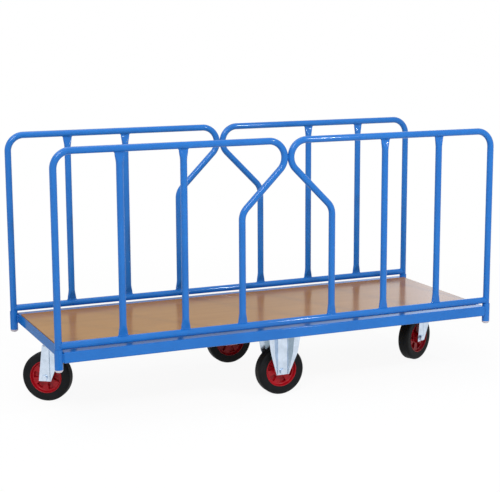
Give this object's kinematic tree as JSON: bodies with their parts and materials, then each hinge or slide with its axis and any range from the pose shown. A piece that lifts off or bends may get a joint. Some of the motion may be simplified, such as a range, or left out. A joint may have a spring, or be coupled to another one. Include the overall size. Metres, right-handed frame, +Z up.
{
  "type": "order picking cart",
  "caption": "Long platform cart with a lift-off tube side along each long edge, on fixed and swivel casters set out in a diamond, for wheeling picked goods about.",
  "frame": {"origin": "on the floor, under the centre of the platform", "axes": "+X along the platform towards its right end, +Y across it towards the rear side, +Z up"},
  "size_m": [1.9261, 0.7276, 1.0525],
  "materials": {
    "blue_paint": "glossy powder coat",
    "zinc_steel": "bright zinc plate",
    "black_rubber": "matt",
    "red_centre": "satin",
    "grey_plastic": "matt",
    "deck_wood": "glossy varnish"
  },
  "bodies": {
    "chassis": {"side_channel_front": "blue_paint", "side_channel_rear": "blue_paint", "end_angle_left": "blue_paint", "end_angle_right": "blue_paint", "corner_socket_front_left": "blue_paint", "corner_socket_front_right": "blue_paint", "corner_socket_rear_left": "blue_paint", "corner_socket_rear_right": "blue_paint", "socket_plug_front_left": "grey_plastic", "socket_plug_front_right": "grey_plastic", "socket_plug_rear_left": "grey_plastic", "socket_plug_rear_right": "grey_plastic", "caster_channel_left": "blue_paint", "caster_channel_centre": "blue_paint", "caster_channel_right": "blue_paint", "cross_member_left": "blue_paint", "cross_member_right": "blue_paint", "deck_board": "deck_wood", "fixed_fork_front": "zinc_steel", "fixed_fork_rear": "zinc_steel", "fixed_axle_front": "zinc_steel", "fixed_axle_rear": "zinc_steel", "swivel_plate_left": "zinc_steel", "swivel_plate_right": "zinc_steel", "kingpin_left": "zinc_steel", "kingpin_right": "zinc_steel", "swivel_ring_left": "zinc_steel", "swivel_ring_right": "zinc_steel"},
    "side_front": {"hoop_front_left": "blue_paint", "hoop_front_right": "blue_paint", "lower_rail_front": "blue_paint", "bar_front_1": "blue_paint", "bar_front_2": "blue_paint", "bar_front_3": "blue_paint", "bar_front_4": "blue_paint"},
    "side_rear": {"hoop_rear_left": "blue_paint", "hoop_rear_right": "blue_paint", "lower_rail_rear": "blue_paint", "bar_rear_1": "blue_paint", "bar_rear_2": "blue_paint", "bar_rear_3": "blue_paint", "bar_rear_4": "blue_paint"},
    "swivel_left": {"swivel_fork_left": "zinc_steel", "swivel_axle_left": "zinc_steel"},
    "swivel_right": {"swivel_fork_right": "zinc_steel", "swivel_axle_right": "zinc_steel"},
    "wheel_left": {"tyre_left": "black_rubber", "wheel_centre_left": "red_centre", "bearing_left": "zinc_steel"},
    "wheel_right": {"tyre_right": "black_rubber", "wheel_centre_right": "red_centre", "bearing_right": "zinc_steel"},
    "wheel_front": {"tyre_front": "black_rubber", "wheel_centre_front": "red_centre", "bearing_front": "zinc_steel"},
    "wheel_rear": {"tyre_rear": "black_rubber", "wheel_centre_rear": "red_centre", "bearing_rear": "zinc_steel"}
  },
  "joints": [
    {"name": "side_front_lift", "type": "slide", "parent": "chassis", "child": "side_front", "axis": [0, 0, 1], "range_m": [0, 0.15]},
    {"name": "side_rear_lift", "type": "slide", "parent": "chassis", "child": "side_rear", "axis": [0, 0, 1], "range_m": [0, 0.15]},
    {"name": "swivel_left_turn", "type": "hinge", "parent": "chassis", "child": "swivel_left", "pos_m": [-0.833, 0, 0.2338], "axis": [0, 0, 1], "continuous": true},
    {"name": "swivel_right_turn", "type": "hinge", "parent": "chassis", "child": "swivel_right", "pos_m": [0.833, 0, 0.2338], "axis": [0, 0, 1], "continuous": true},
    {"name": "wheel_left_spin", "type": "hinge", "parent": "swivel_left", "child": "wheel_left", "pos_m": [-0.88172, 0.03501, 0.1], "axis": [-0.5835, -0.8121, 0], "continuous": true},
    {"name": "wheel_right_spin", "type": "hinge", "parent": "swivel_right", "child": "wheel_right", "pos_m": [0.77954, -0.02724, 0.1], "axis": [0.454, -0.891, 0], "continuous": true},
    {"name": "wheel_front_spin", "type": "hinge", "parent": "chassis", "child": "wheel_front", "pos_m": [0, -0.2655, 0.1], "axis": [0, 1, 0], "continuous": true},
    {"name": "wheel_rear_spin", "type": "hinge", "parent": "chassis", "child": "wheel_rear", "pos_m": [0, 0.2655, 0.1], "axis": [0, 1, 0], "continuous": true}
  ]
}
